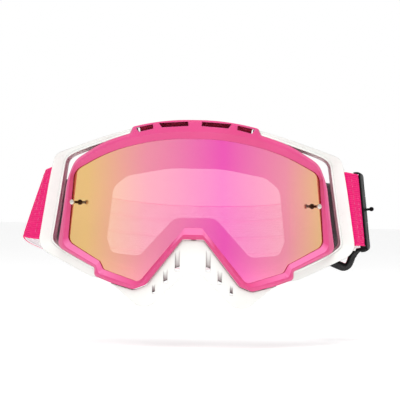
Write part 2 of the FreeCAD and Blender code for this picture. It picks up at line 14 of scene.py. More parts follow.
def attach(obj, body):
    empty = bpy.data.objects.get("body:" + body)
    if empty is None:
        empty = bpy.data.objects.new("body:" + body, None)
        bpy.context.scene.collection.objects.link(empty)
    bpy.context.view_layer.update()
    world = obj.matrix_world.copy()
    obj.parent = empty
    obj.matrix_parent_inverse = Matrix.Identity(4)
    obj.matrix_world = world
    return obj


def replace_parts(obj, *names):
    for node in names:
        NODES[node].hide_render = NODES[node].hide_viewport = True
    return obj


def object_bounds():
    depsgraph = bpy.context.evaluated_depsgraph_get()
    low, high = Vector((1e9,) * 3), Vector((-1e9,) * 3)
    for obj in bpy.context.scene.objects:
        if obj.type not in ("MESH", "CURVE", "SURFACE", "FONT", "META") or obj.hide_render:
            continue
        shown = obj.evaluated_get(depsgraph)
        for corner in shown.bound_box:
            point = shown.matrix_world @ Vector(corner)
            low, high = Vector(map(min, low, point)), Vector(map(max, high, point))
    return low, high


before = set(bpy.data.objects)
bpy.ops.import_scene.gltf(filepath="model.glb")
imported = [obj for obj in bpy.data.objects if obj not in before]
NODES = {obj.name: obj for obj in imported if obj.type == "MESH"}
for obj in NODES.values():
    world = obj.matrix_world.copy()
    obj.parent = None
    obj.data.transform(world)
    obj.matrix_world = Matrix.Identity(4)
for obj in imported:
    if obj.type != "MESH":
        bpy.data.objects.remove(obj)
CAD_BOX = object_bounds()
MM = 0.001

# ---- dimensions shared with the CAD model --------------------------------------------------------
AXIS_Y, LENS_R = 51.0, 95.0
BEZEL_R, BEZEL_EDGE_R = 97.4, 95.55        # radius of the bezel's ridge and of its edge at the lens
SHANK_END = 4.9                            # height where a post's dark shank meets its head
STRUT_ROUND = 1.15                         # edge radius of the outriggers
POST_X, POST_Z = 63.8, 1.5
ROD_X, ROD_SLOPE, ROD_Y, ROD_MID_Z, ROD_R = 84.6, 0.1645, 13.4, 0.4, 1.5
# right halves of outlines seen from the front, from top to bottom: x, z, corner radius
APERTURE = [(17, 36.3, 120), (46, 30, 98), (67.6, 18.9, 7), (70.8, -20.2, 5), (51.6, -30.4, 1.2),
            (49.2, -34.8, 1.2), (29.1, -41.0, 4), (4.6, -11.2, 1.5)]
RIDGE = [(17, 40.0, 120), (47.4, 33.5, 98), (69.3, 20.5, 8), (73.9, -22.3, 5.5), (53.3, -32.6, 1.4),
         (51.6, -37.0, 1.8), (29.6, -43.4, 4.6), (5.2, -14.9, 1.5)]
# right-hand outrigger: x outer, z outer, x inner, z inner, front y, depth, corner radius of its run
OUTRIGGER = [(31.0, 42.0, 30.6, 38.9, -40.2, 9.0, 9), (36.0, 41.5, 35.2, 37.9, -38.2, 9.0, 9),
             (50.5, 37.6, 49.4, 33.4, -29.6, 9.0, 9), (62.5, 34.0, 61.4, 29.9, -19.0, 9.0, 9),
             (72.0, 31.3, 70.0, 27.0, -8.6, 9.0, 4), (80.2, 28.4, 72.9, 24.4, -3.6, 9.0, 3.4),
             (83.0, 15.0, 74.3, 14.0, -3.4, 9.0, 9), (86.2, -5.0, 77.2, -5.0, -2.8, 9.0, 9),
             (88.7, -21.0, 79.7, -19.6, -2.4, 9.0, 3), (85.6, -25.9, 77.0, -22.0, -4.6, 9.0, 3),
             (71.0, -32.7, 68.6, -26.4, -14.2, 9.0, 9), (56.5, -39.2, 55.0, -32.6, -26.2, 9.0, 4),
             (50.5, -39.6, 50.0, -33.5, -30.4, 8.0, 4)]
ROD_Z = (22.4, -22.0)
LUG_T = 1.7
STRAP_T, STRAP_W = 1.5, 41.8
STRAP_PATH = [(-83.3, -90.0, 12.0, 12.0, 0.4), (-88.0, -98.2, 28.0, 29.0, 0.4),
              (-90.8, -104.2, 45.0, 48.0, 0.0), (-90.0, -104.0, 65.0, 70.0, -4.0),
              (-83.0, -97.0, 91.0, 97.0, -8.9), (-70.5, -81.0, 116.0, 122.0, -13.0),
              (-50.0, -56.0, 136.5, 142.5, -17.0), (-25.5, -28.5, 148.0, 154.5, -19.4),
              (0.0, 0.0, 151.5, 158.0, -20.0), (26.0, 28.5, 148.0, 154.5, -19.4),
              (50.0, 55.5, 137.0, 143.0, -17.0), (74.5, 82.0, 117.0, 121.5, -12.0),
              (89.5, 96.2, 95.0, 96.0, -4.6), (94.7, 99.5, 72.0, 72.0, 0.0),
              (90.6, 95.4, 33.0, 33.0, 0.0), (83.3, 90.0, 12.0, 12.0, 0.4)]
STRAIGHT_FROM = 13                 # the stretches from this point of the path are straight
GRIP_HEIGHTS = (-11.0, 0.0, 11.0)
STRAP_CROWN, STRAP_WAVE = 0.35, 0.7        # how far its middle stands out, and how far it ripples
SLIDER_RUN = (30.0, 74.0)                  # y between which the slider holds the strap flat
SLACK_EASE = (12.0, 14.0)                  # run over which the ripple fades in at each end of that
BELOW_STRAP = -20.0                        # the free end lies lower than this
# slider buckle: its middle on the strap, its turn, outer surface, ends, and radius of its outer corners
BUCKLE_MIDDLE, BUCKLE_LEAN, BUCKLE_HEADING = (94.367, 46.0, 0.0), 6.594, 6.001
BUCKLE_CREST, BUCKLE_ENDS, BUCKLE_ROUND = 3.3, (22.4, -24.6), 3.8
# free end of the strap: middle of the band seen from the front; its two edges lie either side of it
TAIL_PATH = [(97.0, -22.7), (93.0, -23.8), (89.8, -26.8), (88.6, -30.0), (87.4, -32.4), (85.2, -33.5),
             (82.4, -32.7), (78.6, -31.2), (73.6, -29.4), (68.6, -28.0)]
TAIL_Y, TAIL_W, TAIL_SPLAY = 37.0, 17.0, 1.9


# ---- light -----------------------------------------------------------------------------------------
TENT_LIGHT, TENT_SEEN = 0.50, 1.0
FLOOR_DROP, FLOOR_GLOW = 0.022, 0.50       # floor below the object, and its own light
# name, place, size and power of each lamp
LAMPS = (("key", (-0.35, -0.70, 0.75), 0.6, 3.6),
         ("fill", (0.75, -0.55, 0.35), 0.8, 1.4),
         ("top", (0.1, -0.20, 1.00), 0.5, 4.6))


# ---- material graphs -----------------------------------------------------------------------------
def linear(r, g, b):
    """An 0-255 screen colour as linear light, with alpha."""
    return tuple(c / 12.92 if c <= 0.04045 else ((c + 0.055) / 1.055) ** 2.4
                 for c in (r / 255, g / 255, b / 255)) + (1.0,)


class Graph:
    """A material and short ways to add nodes to it."""

    def __init__(self, name, roughness=0.5, metallic=0.0, **sockets):
        self.material = bpy.data.materials.new(name)
        self.material.use_nodes = True
        self.tree = self.material.node_tree
        self.shader = self.tree.nodes["Principled BSDF"]
        self.shader.inputs["Roughness"].default_value = roughness
        self.shader.inputs["Metallic"].default_value = metallic
        for socket, value in sockets.items():
            self.shader.inputs[socket.replace("_", " ")].default_value = value

    def add(self, kind, output=0, inputs=None, **settings):
        node = self.tree.nodes.new("ShaderNode" + kind)
        for key, value in settings.items():
            setattr(node, key, value)
        for key, value in (inputs or {}).items():
            if isinstance(value, bpy.types.NodeSocket):
                self.tree.links.new(value, node.inputs[key])
            else:
                node.inputs[key].default_value = value
        return node.outputs[output]

    def place(self):
        return self.add("TexCoord", "Object")

    def noise(self, scale, detail=3.0, roughness=0.5, where=None):
        """Noise of about one blob per 1/scale metres."""
        return self.add("TexNoise", "Fac", {"Vector": where or self.place(), "Scale": scale,
                                            "Detail": detail, "Roughness": roughness})

    def math(self, operation, a, b=0.0):
        return self.add("Math", 0, {0: a, 1: b}, operation=operation)

    def range(self, value, low, high, to_low=0.0, to_high=1.0):
        return self.add("MapRange", 0, {"Value": value, "From Min": low, "From Max": high,
                                        "To Min": to_low, "To Max": to_high})

    def mix(self, share, a, b):
        return self.add("Mix", 2, {0: share, 6: a, 7: b}, data_type="RGBA")

    def ramp(self, value, stops):
        node = self.tree.nodes.new("ShaderNodeValToRGB")
        self.tree.links.new(value, node.inputs[0])
        ramp = node.color_ramp
        while len(ramp.elements) < len(stops):
            ramp.elements.new(0.5)
        for element, (position, colour) in zip(ramp.elements, stops):
            element.position = position
            element.color = colour
        return node.outputs[0]

    def bump(self, height, depth, below=None):
        """Bump of depth metres; below is another bump's normal."""
        inputs = {"Height": height, "Strength": 1.0, "Distance": depth}
        if below is not None:
            inputs["Normal"] = below
        return self.add("Bump", 0, inputs)

    def finish(self, colour=None, roughness=None, normal=None):
        for name, socket in (("Base Color", colour), ("Roughness", roughness), ("Normal", normal)):
            if socket is not None:
                self.tree.links.new(socket, self.shader.inputs[name])
        return self.material


def moulded(name, colour, roughness, dark, light, recess_shade, grain=0.000012, grain_scale=5200.0, **sockets):
    """Moulded plastic: spark-eroded grain, flow marks, softened paler edges, and painted shade from ambient
    occlusion darkening the recesses.
    """
    g = Graph(name, **sockets)
    flow = g.noise(38.0, 4.0, 0.55)
    tone = g.mix(g.range(flow, 0.32, 0.68), dark, colour)
    soft = g.add("Bevel", 0, {"Radius": 0.0006}, samples=4)
    turned = g.add("VectorMath", "Value", {0: soft, 1: g.add("NewGeometry", "Normal")},
                   operation="DOT_PRODUCT")
    worn = g.math("MULTIPLY", g.range(turned, 0.995, 0.86), g.range(g.noise(420.0), 0.35, 0.7))
    tone = g.mix(worn, tone, light)
    # painted shade: ambient occlusion darkens the tone towards the last colour given, in recesses and between
    # parts
    painted_recess_shade = g.add("AmbientOcclusion", "AO", {"Distance": 0.004}, samples=6)
    tone = g.mix(g.range(painted_recess_shade, 0.25, 0.8), recess_shade, tone)
    rough = g.range(g.noise(900.0, 2.0), 0.2, 0.8, roughness - 0.05, roughness + 0.06)
    waves = g.bump(g.noise(150.0, 2.0), 0.00008, soft)
    g.finish(tone, rough, g.bump(g.noise(grain_scale, 2.0), grain, waves))
    return g, tone


def frame_material():
    """Satin pink, with painted shade darkening the side walls and chamfers, and a painted highlight paling
    the lower slopes that face upwards.
    """
    # the last colour given here is the painted shade for recesses
    g, tone = moulded("satin pink frame", linear(219, 67, 132), 0.38, linear(213, 60, 124),
                      linear(240, 106, 168), linear(150, 16, 54), Coat_Weight=0.1)
    place = g.place()
    away = g.add("VectorMath", 0, {0: place, 1: (0.0, AXIS_Y * MM, 0.0)}, operation="SUBTRACT")
    flat = g.add("VectorMath", 0, {0: away, 1: (1.0, 1.0, 0.0)}, operation="MULTIPLY")
    radial = g.add("VectorMath", 0, {0: flat}, operation="NORMALIZE")
    wall_shade_facing = g.add("VectorMath", "Value", {0: radial, 1: g.add("NewGeometry", "Normal")},
                   operation="DOT_PRODUCT")
    # painted shade: faces turned away from the front, the side walls and chamfers, are darkened towards deep
    # red
    tone = g.mix(g.range(wall_shade_facing, 0.35, 0.78), linear(186, 34, 82), tone)
    # painted highlight: upward-facing lower slopes at the corners and by the nose are paled towards light
    # pink
    up = g.add("SeparateXYZ", "Z", {"Vector": g.add("NewGeometry", "Normal")})
    x = g.math("ABSOLUTE", g.add("SeparateXYZ", "X", {"Vector": place}))
    z = g.add("SeparateXYZ", "Z", {"Vector": place})
    corners, nose, lower = g.range(x, 0.030, 0.052), g.range(x, 0.012, 0.007), g.range(z, 0.0, -0.012)
    where = g.math("MULTIPLY", g.math("MAXIMUM", corners, nose), lower)
    painted_highlight = g.math("MULTIPLY", g.range(up, 0.08, 0.42, 0.0, 0.5), where)
    return g.finish(g.mix(painted_highlight, tone, linear(255, 150, 205)))


def make_materials():
    made = {}
    made["frame_pink"] = frame_material()
    # for each moulding the last colour given is its painted shade in recesses
    made["plastic_white"] = moulded("white moulding", linear(243, 245, 241), 0.30, linear(237, 239, 234),
                                    linear(247, 248, 245), linear(168, 146, 150),
                                    grain=0.000008)[0].material
    made["buckle_black"] = moulded("black buckle", linear(14, 14, 15), 0.45, linear(9, 9, 10),
                                   linear(62, 62, 66), linear(4, 4, 4), grain=0.00002,
                                   grain_scale=3600.0, Specular_IOR_Level=0.08)[0].material
    made["lens_mirror"] = lens_material()
    made["lens_clear"] = clear_material()
    made["post_metal"] = metal("nickel post", linear(214, 208, 198), 0.18)
    # the shank is a dark brown metal, darker than the head
    made["post_shank"] = metal("dark brown shank", linear(58, 38, 26), 0.3)
    made["pin_steel"] = metal("steel pin", linear(176, 176, 178), 0.3)
    made["retainer_clear"] = retainer_material()
    made["foam_dark"] = foam_material("charcoal foam", linear(52, 50, 53), linear(84, 80, 84), 900.0)
    made["foam_vent"] = foam_material("vent foam", linear(236, 40, 96), linear(252, 84, 136), 700.0)
    made["fleece_dark"] = fleece_material()
    made["webbing_pink"] = webbing("pink elastic", linear(248, 32, 124), linear(232, 18, 106),
                                   linear(255, 64, 138))
    made["webbing_lining"] = webbing("strap lining", linear(254, 247, 249), linear(243, 231, 236),
                                     linear(255, 251, 252))
    made["webbing_black"] = webbing("black webbing", linear(11, 11, 12), linear(5, 5, 6),
                                    linear(30, 30, 33))
    made["thread"] = thread_material("pink thread", linear(246, 74, 148))
    made["silicone_grip"] = silicone_material()
    return made


def lens_material():
    """Mirror film whose tint runs from gold at both ends through salmon to magenta off the middle: partly the
    coating's own colour, and partly painted reflection, since the shift that viewing angle and reflection
    bring on a mirror is painted on by position.
    """
    gold, salmon, magenta = (230, 190, 125), (245, 145, 165), (240, 88, 180)
    stops = ((-60, gold), (-25, salmon), (16, magenta), (50, salmon), (72, gold))
    half, cover = 75.0, 0.82
    g = Graph("mirror lens", roughness=0.09, metallic=0.95, Alpha=cover)
    x = g.add("SeparateXYZ", "X", {"Vector": g.place()})
    streaks = g.range(g.noise(26.0, 2.0), 0.3, 0.7, -0.0012, 0.0012)
    across = g.range(g.math("ADD", x, streaks), -half * MM, half * MM)
    # partly painted reflection: the tint changes with position across the lens, where a real mirror film
    # changes with viewing angle and what it reflects
    tint = g.ramp(across, [((mm + half) / (2 * half), tuple(min(1.0, c / cover) for c in linear(*rgb)))
                           for mm, rgb in stops])
    rough = g.range(g.noise(60.0, 5.0, 0.6), 0.3, 0.8, 0.06, 0.13)
    return g.finish(tint, rough, g.bump(g.noise(30.0, 1.0), 0.00004))


def clear_material():
    """Bare polycarbonate of the lens's rear face and edge."""
    g = Graph("lens polycarbonate", roughness=0.1, Alpha=0.06)
    tone = g.mix(g.noise(40.0), linear(236, 214, 222), linear(246, 226, 232))
    return g.finish(tone, g.range(g.noise(90.0), 0.3, 0.7, 0.06, 0.14), g.bump(g.noise(30.0, 1.0), 0.00002))


def metal(name, colour, roughness):
    g = Graph(name, metallic=1.0)
    turned = g.add("TexWave", "Fac", {"Vector": g.place(), "Scale": 900.0, "Distortion": 2.0},
                   wave_type="BANDS", bands_direction="X")
    tone = g.mix(g.range(g.noise(800.0), 0.3, 0.7), colour, tuple(c * 0.8 for c in colour[:3]) + (1.0,))
    return g.finish(tone, g.range(g.noise(2400.0), 0.3, 0.7, roughness - 0.05, roughness + 0.08),
                    g.bump(turned, 0.000006))


def retainer_material():
    g = Graph("clear retainer", roughness=0.2, Alpha=0.6)
    tone = g.mix(g.noise(500.0), linear(226, 228, 230), linear(244, 245, 246))
    return g.finish(tone, g.range(g.noise(1500.0), 0.3, 0.7, 0.14, 0.28), g.bump(g.noise(700.0), 0.00003))


def foam_material(name, dark, light, scale):
    """Open-cell foam: small pits with paler walls between them."""
    g = Graph(name, Sheen_Weight=0.25, Sheen_Roughness=0.6)
    cells = g.add("TexVoronoi", "Distance", {"Vector": g.place(), "Scale": scale},
                  feature="DISTANCE_TO_EDGE")
    walls = g.range(cells, 0.02, 0.22, 1.0, 0.0)
    patches = g.range(g.noise(60.0), 0.3, 0.7, 0.0, 0.35)
    tone = g.mix(g.math("MAXIMUM", g.math("MULTIPLY", walls, 0.8), patches), dark, light)
    return g.finish(tone, g.range(walls, 0, 1, 0.98, 0.86), g.bump(walls, 0.00022))


def fleece_material():
    """Short brushed pile on the face side."""
    g = Graph("fleece", Sheen_Weight=0.7, Sheen_Roughness=0.45)
    pile = g.noise(2600.0, 4.0, 0.7)
    clumps = g.noise(420.0, 3.0, 0.6)
    both = g.math("ADD", g.math("MULTIPLY", pile, 0.6), g.math("MULTIPLY", clumps, 0.4))
    tone = g.mix(g.range(both, 0.35, 0.65), linear(38, 37, 40), linear(78, 75, 80))
    return g.finish(tone, g.range(both, 0.3, 0.7, 0.98, 0.85), g.bump(both, 0.00045))


def webbing(name, colour, dark, light):
    """Woven elastic: ribs along its length, picks across them, from UVs in metres."""
    rib, pick = 0.00115, 0.0009
    g = Graph(name, Sheen_Weight=0.05, Sheen_Roughness=0.35, Specular_IOR_Level=0.1)
    g.shader.inputs["Sheen Tint"].default_value = light
    uv = g.add("UVMap", 0, uv_map="weave")
    along = g.add("SeparateXYZ", "X", {"Vector": uv})
    across = g.add("SeparateXYZ", "Y", {"Vector": uv})
    row = g.math("DIVIDE", across, rib)
    odd = g.math("MODULO", g.math("FLOOR", row), 2.0)
    rib_height = g.math("SINE", g.math("MULTIPLY", g.math("FRACT", row), math.pi))
    shifted = g.math("ADD", g.math("DIVIDE", along, pick), g.math("MULTIPLY", odd, 0.5))
    pick_height = g.math("SINE", g.math("MULTIPLY", g.math("FRACT", shifted), math.pi))
    height = g.math("MULTIPLY", g.math("POWER", rib_height, 0.6),
                    g.range(pick_height, 0.0, 1.0, 0.55, 1.0))
    streak = g.add("TexNoise", "Fac", {"Vector": g.add("VectorMath", 0, {0: uv, 1: (60.0, 900.0, 0.0)},
                                                       operation="MULTIPLY"), "Scale": 1.0, "Detail": 2.0})
    tone = g.mix(g.range(height, 0.15, 0.95), dark, colour)
    tone = g.mix(g.range(streak, 0.45, 0.8, 0.0, 0.3), tone, light)
    fuzz = g.bump(g.noise(5200.0, 2.0), 0.00005)
    return g.finish(tone, g.range(height, 0, 1, 0.9, 0.66), g.bump(height, 0.00022, fuzz))


def thread_material(name, colour):
    g = Graph(name, Sheen_Weight=0.4)
    twist = g.add("TexWave", "Fac", {"Vector": g.place(), "Scale": 700.0, "Distortion": 1.0},
                  bands_direction="DIAGONAL")
    tone = g.mix(twist, tuple(c * 0.7 for c in colour[:3]) + (1.0,), colour)
    return g.finish(tone, g.range(twist, 0, 1, 0.7, 0.5), g.bump(twist, 0.00005))


def silicone_material():
    g = Graph("silicone grip", Coat_Weight=0.2)
    tone = g.mix(g.noise(300.0), linear(240, 206, 218), linear(248, 226, 234))
    return g.finish(tone, g.range(g.noise(900.0), 0.3, 0.7, 0.24, 0.4), g.bump(g.noise(900.0), 0.00005))


# ---- mesh helpers ----------------------------------------------------------------------------------
def new_piece(name, points, faces, materials, body, sharp=40.0):
    mesh = bpy.data.meshes.new(name)
    mesh.from_pydata([tuple(c * MM for c in p) for p in points], [], faces)
    mesh.validate()
    obj = bpy.data.objects.new(name, mesh)
    bpy.context.scene.collection.objects.link(obj)
    for m in materials:
        mesh.materials.append(m)
    tidy_normals(mesh)
    mesh.shade_smooth()
    mesh.set_sharp_from_angle(angle=math.radians(sharp))
    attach(obj, body)
    return obj


def tidy_normals(mesh):
    bm = bmesh.new()
    bm.from_mesh(mesh)
    bmesh.ops.recalc_face_normals(bm, faces=bm.faces)
    bm.to_mesh(mesh)
    bm.free()


def skin_rings(rings, cap=True):
    """Points and faces of a closed skin over rings of equal length."""
    n = len(rings[0])
    points = [p for ring in rings for p in ring]
    faces = [(i * n + j, i * n + (j + 1) % n, (i + 1) * n + (j + 1) % n, (i + 1) * n + j)
             for i in range(len(rings) - 1) for j in range(n)]
    if cap:
        faces.append(tuple(range(n)))
        faces.append(tuple((len(rings) - 1) * n + j for j in reversed(range(n))))
    return points, faces


def spline(controls, step):
    """Points about step apart along a centripetal Catmull-Rom curve through rows of numbers."""
    p = np.array(controls, float)
    p = np.vstack([2 * p[0] - p[1], p, 2 * p[-1] - p[-2]])
    fine = []
    for i in range(1, len(p) - 2):
        knots = [0.0]
        for k in range(3):
            knots.append(knots[-1] + max(1e-6, np.linalg.norm(p[i + k] - p[i + k - 1])) ** 0.5)
        t0, t1, t2, t3 = knots
        for t in np.linspace(t1, t2, 12, endpoint=False):
            a1 = (t1 - t) / (t1 - t0) * p[i - 1] + (t - t0) / (t1 - t0) * p[i]
            a2 = (t2 - t) / (t2 - t1) * p[i] + (t - t1) / (t2 - t1) * p[i + 1]
            a3 = (t3 - t) / (t3 - t2) * p[i + 1] + (t - t2) / (t3 - t2) * p[i + 2]
            b1 = (t2 - t) / (t2 - t0) * a1 + (t - t0) / (t2 - t0) * a2
            b2 = (t3 - t) / (t3 - t1) * a2 + (t - t1) / (t3 - t1) * a3
            fine.append((t2 - t) / (t2 - t1) * b1 + (t - t1) / (t2 - t1) * b2)
    fine.append(p[-2])
    fine = np.array(fine)
    run = np.concatenate([[0.0], np.cumsum(np.linalg.norm(np.diff(fine, axis=0), axis=1))])
    count = max(2, int(round(run[-1] / step)) + 1)
    where = np.linspace(0.0, run[-1], count)
    return np.column_stack([np.interp(where, run, fine[:, k]) for k in range(fine.shape[1])])


# ---- frame shell -----------------------------------------------------------------------------------
def closed(half):
    return half + [(-x, z, r) for x, z, r in reversed(half)]


def rounded(points, per_arc=8, per_edge=10):
    """Points along a polygon with rounded corners, the same number for each corner and edge."""
    corners = []
    n = len(points)
    for i, (x, z, r) in enumerate(points):
        here = np.array([x, z], float)
        a = np.array(points[i - 1][:2], float) - here
        b = np.array(points[(i + 1) % n][:2], float) - here
        a, b = a / np.linalg.norm(a), b / np.linalg.norm(b)
        half = math.acos(max(-1.0, min(1.0, float(a @ b)))) / 2
        run = r / math.tan(half)
        t = np.linspace(0, 1, per_arc)[:, None]
        start, end = here + a * run, here + b * run
        centre = here + (a + b) / np.linalg.norm(a + b) * r / math.sin(half)
        arc = start + (end - start) * t
        arc = centre + (arc - centre) / np.linalg.norm(arc - centre, axis=1)[:, None] * r
        corners.append(arc)
    out = []
    for i, arc in enumerate(corners):
        out += list(arc)
        following = corners[(i + 1) % n][0]
        for t in np.linspace(0, 1, per_edge + 2)[1:-1]:
            out.append(arc[-1] + (following - arc[-1]) * t)
    return np.array(out)


def on_lens(points, radius):
    """Seen-from-the-front points laid on an upright cylinder about the lens's axis."""
    x = points[:, 0]
    return np.column_stack([x, AXIS_Y - np.sqrt(radius ** 2 - x ** 2), points[:, 1]])


def loop_solid(name, loops):
    """A ring-shaped solid: each loop is one long edge of its section, in order."""
    count, n = len(loops), len(loops[0])
    points = [tuple(c * MM for c in p) for loop in loops for p in loop]
    faces = [(k * n + i, k * n + (i + 1) % n, ((k + 1) % count) * n + (i + 1) % n,
              ((k + 1) % count) * n + i) for k in range(count) for i in range(n)]
    mesh = bpy.data.meshes.new(name)
    mesh.from_pydata(points, [], faces)
    tidy_normals(mesh)
    obj = bpy.data.objects.new(name, mesh)
    bpy.context.scene.collection.objects.link(obj)
    return obj


def carve(obj, cutter):
    """Take the cutter away from obj, and remove the cutter."""
    cut = obj.modifiers.new("Carve", "BOOLEAN")
    cut.operation = "DIFFERENCE"
    cut.solver = "EXACT"
    cut.object = cutter
    bake_modifiers(obj)
    bpy.data.objects.remove(cutter)


def welded_copy(node, name):
    obj = bpy.data.objects.new(name, NODES[node].data.copy())
    bpy.context.scene.collection.objects.link(obj)
    bm = bmesh.new()
    bm.from_mesh(obj.data)
    bmesh.ops.remove_doubles(bm, verts=bm.verts, dist=2e-6)
    bm.to_mesh(obj.data)
    bm.free()
    obj.data.materials.clear()
    return obj


def slope_cutter(inner, outer, inner_r, outer_r):
    """What lies in front of a sloping face between two outlines."""
    a, b = rounded(closed(inner)), rounded(closed(outer))
    rise = outer_r - inner_r
    low = on_lens(a - (b - a) * 0.35, inner_r - rise * 0.35)
    high = on_lens(b + (b - a) * 0.2, outer_r + rise * 0.2)
    return loop_solid("cutter", [low, high, on_lens(b + (b - a) * 0.2, outer_r + 5),
                                 on_lens(a - (b - a) * 0.35, outer_r + 5)])


def make_frame(mats):
    """The frame with its bezel sloping down to the lens."""
    shell = welded_copy("front_frame", "frame_shell")
    carve(shell, slope_cutter(APERTURE, RIDGE, BEZEL_EDGE_R, BEZEL_R))
    shell.data.materials.clear()
    shell.data.materials.append(mats["frame_pink"])
    shell.data.shade_smooth()
    shell.data.set_sharp_from_angle(angle=math.radians(20))
    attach(shell, "goggles")
    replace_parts(shell, "front_frame")
    return shell


def make_lens(mats):
    """The lens, with its mirror film on the outer face only."""
    lens = welded_copy("lens", "lens_shell")
    mesh = lens.data
    mesh.materials.append(mats["lens_mirror"])
    mesh.materials.append(mats["lens_clear"])
    radius = [math.hypot(v.co.x, v.co.y - AXIS_Y * MM) for v in mesh.vertices]
    for polygon in mesh.polygons:
        outside = min(radius[v] for v in polygon.vertices) > (LENS_R - 0.1) * MM
        polygon.material_index = 0 if outside else 1
    mesh.shade_smooth()
    mesh.set_sharp_from_angle(angle=math.radians(20))
    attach(lens, "goggles")
    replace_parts(lens, "lens")
    return lens


# ---- outriggers ------------------------------------------------------------------------------------
def softened_run(rows, step=5):
    """Rows of numbers with each inner row's corner turned over its own length, the last number."""
    data = [np.array(r[:-1], float) for r in rows]
    out = [data[0]]
    for i in range(1, len(rows) - 1):
        before, here, after = data[i - 1], data[i], data[i + 1]
        la, lb = np.linalg.norm(here[:2] - before[:2]), np.linalg.norm(after[:2] - here[:2])
        a = here + (before - here) * min(0.47, rows[i][-1] / la)
        b = here + (after - here) * min(0.47, rows[i][-1] / lb)
        for t in np.linspace(0, 1, step):
            out.append((1 - t) ** 2 * a + 2 * t * (1 - t) * here + t * t * b)
    return out + [data[-1]]


def strut_ring(xo, zo, xi, zi, y, depth, radius):
    """Rounded four-sided section of the strut."""
    outer, inner = np.array([xo, 0.0, zo]), np.array([xi, 0.0, zi])
    across = (inner - outer)
    width = np.linalg.norm(across)
    across /= width
    back = np.array([0.0, 1.0, 0.0])
    ring = []
    for cx, cy, start in ((radius, radius, 180), (radius, depth - radius, 90),
                          (width - radius, depth - radius, 0), (width - radius, radius, -90)):
        for angle in np.radians(np.linspace(start, start - 90, 6)):
            u = cx + radius * math.cos(angle)
            v = cy + radius * math.sin(angle)
            ring.append(outer + across * u + back * (y + v))
    return ring


def make_outrigger(side, name, mats):
    rings = [strut_ring(*row, STRUT_ROUND) for row in softened_run(OUTRIGGER)]
    points, faces = skin_rings(rings)
    for z in ROD_Z:
        x = ROD_X - ROD_SLOPE * z
        lug = [[np.array([px, py, z + dz]) for px, py in lug_outline(x)]
               for dz in (-LUG_T / 2, 0.2 - LUG_T / 2, LUG_T / 2 - 0.2, LUG_T / 2)]
        for k, scale in ((0, 0.94), (3, 0.94)):
            middle = np.mean(lug[k], axis=0)
            lug[k] = [middle + (p - middle) * scale for p in lug[k]]
        p, f = skin_rings(lug)
        faces += [tuple(len(points) + q for q in face) for face in f]
        points += p
    ends = [np.array([ROD_X - ROD_SLOPE * z, ROD_Y, z]) for z in ROD_Z]
    rod = [[e + np.array([math.cos(a), math.sin(a), 0.0]) * ROD_R
            for a in np.linspace(0, 2 * math.pi, 20, endpoint=False)] for e in ends]
    p, f = skin_rings(rod)
    faces += [tuple(len(points) + q for q in face) for face in f]
    points += p
    if side < 0:
        points = [q * np.array([-1.0, 1.0, 1.0]) for q in points]
    strut = new_piece(name + "_strut", points, faces, [], "goggles", sharp=35.0)
    outline = rounded(closed(RIDGE))
    carve(strut, loop_prism(outline, -60.0, 20.0))
    strut.data.materials.clear()
    strut.data.materials.append(mats["plastic_white"])
    strut.data.shade_smooth()
    strut.data.set_sharp_from_angle(angle=math.radians(35))
    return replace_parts(strut, name)


def lug_outline(x):
    """Plan of the lug that carries the rod's end: x and y, with a round rear."""
    round_end = [(x + 1.8 * math.sin(a), ROD_Y + 0.2 + 1.8 * math.cos(a))
                 for a in np.linspace(math.pi / 2, -math.pi / 2, 9)]
    return [(x + 1.0, 2.5)] + round_end + [(x - 4.3, 5.0), (x - 4.3, 2.5)]


def loop_prism(outline, y0, y1):
    """Solid prism over a seen-from-the-front outline."""
    rings = [[(x, y, z) for x, z in outline] for y in (y0, y1)]
    points, faces = skin_rings(rings)
    mesh = bpy.data.meshes.new("cutter")
    mesh.from_pydata([tuple(c * MM for c in p) for p in points], [], faces)
    tidy_normals(mesh)
    obj = bpy.data.objects.new("cutter", mesh)
    bpy.context.scene.collection.objects.link(obj)
    return obj


# ---- strap -----------------------------------------------------------------------------------------
def rod_axes(side):
    """Middle of a strap rod, and its outward, rearward and upward directions."""
    run = math.hypot(1.0, ROD_SLOPE)
    middle = np.array([side * (ROD_X - ROD_SLOPE * ROD_MID_Z), ROD_Y, ROD_MID_Z])
    outward = np.array([side / run, 0.0, ROD_SLOPE / run])
    upward = np.array([-side * ROD_SLOPE / run, 0.0, 1.0 / run])
    return middle, outward, np.array([0.0, 1.0, 0.0]), upward


def strap_middle():
    """Top and bottom edge points along the strap between its two rods."""
    rows = []
    n = len(STRAP_PATH)
    for i in range(1, n - 2):
        for k in range(4):
            t = k / 4
            a, b, c, d = (STRAP_PATH[max(0, min(n - 1, j))] for j in (i - 1, i, i + 1, i + 2))
            if i >= STRAIGHT_FROM:
                row = [q + (r - q) * t for q, r in zip(b, c)]
            else:
                row = [0.5 * (2 * q + (r - p) * t + (2 * p - 5 * q + 4 * r - s) * t * t
                              + (3 * q - p - 3 * r + s) * t ** 3) for p, q, r, s in zip(a, b, c, d)]
            rows.append(row)
    rows.append(STRAP_PATH[-2])
    out = []
    for xt, xb, yt, yb, z in rows:
        half = math.sqrt(STRAP_W ** 2 - (xt - xb) ** 2 - (yt - yb) ** 2) / 2
        out.append(np.array([xt, yt, z + half, xb, yb, z - half]))
    return out


